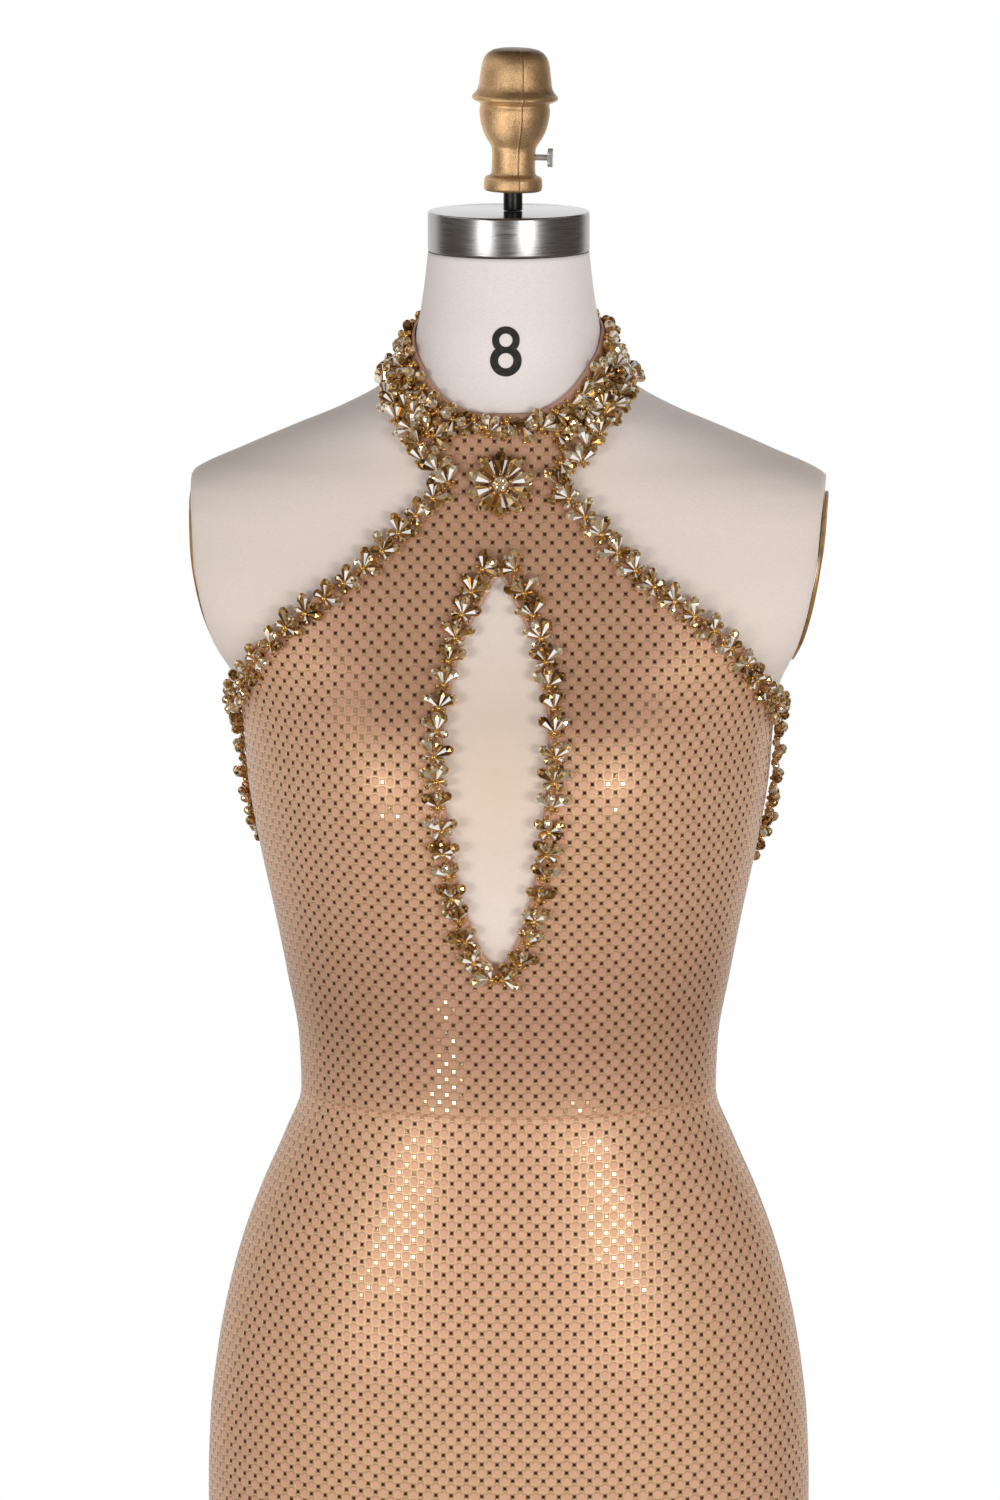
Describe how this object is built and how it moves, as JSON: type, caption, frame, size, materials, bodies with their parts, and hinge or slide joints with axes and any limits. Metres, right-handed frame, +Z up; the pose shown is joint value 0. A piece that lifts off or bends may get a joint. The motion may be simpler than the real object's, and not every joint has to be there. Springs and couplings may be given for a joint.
{
  "type": "halter evening gown on a limbless dress form",
  "caption": "Floor-length halter gown of beaded net with a front keyhole and low back, worn by a limbless padded dress form on a round stand.",
  "frame": {"origin": "middle of the stand's underside, on the floor", "axes": "+Z up along the pole, -Y towards the gown's front, +X towards the wearer's left"},
  "size_m": [0.4738, 0.4708, 1.7279],
  "materials": {
    "beaded_net": "nude stretch net of round discs with gold rims and small mirror stones",
    "crystal": "faceted champagne-gold stones, mirror bright",
    "nickel": "satin nickel plate",
    "linen": "warm off-white plain linen, stretched smooth",
    "arm_plate": "aged brass, satin",
    "brushed_cap": "brushed band under a polished top",
    "black_metal": "black satin enamel",
    "gold_paint": "pale gold metallic paint on a cast surface, slightly speckled"
  },
  "bodies": {
    "root": {"bodice_front": "beaded_net", "bodice_back": "beaded_net", "skirt_front": "beaded_net", "skirt_back": "beaded_net", "collar": "beaded_net", "collar_row_top": "crystal", "collar_row_middle_left": "crystal", "collar_row_middle_right": "crystal", "collar_row_low_left": "crystal", "collar_row_low_right": "crystal", "armhole_row_left": "crystal", "armhole_row_right": "crystal", "keyhole_row": "crystal", "collar_brooch": "crystal", "collar_bar": "nickel", "collar_hook": "nickel", "form_torso": "linen", "arm_plate_left": "arm_plate", "arm_plate_right": "arm_plate", "neck_cap": "brushed_cap", "neck_rod": "black_metal", "finial": "gold_paint", "finial_screw": "nickel", "pole_flange": "black_metal", "stand_pole": "black_metal", "stand_hub": "black_metal", "stand_base": "black_metal"}
  },
  "joints": []
}
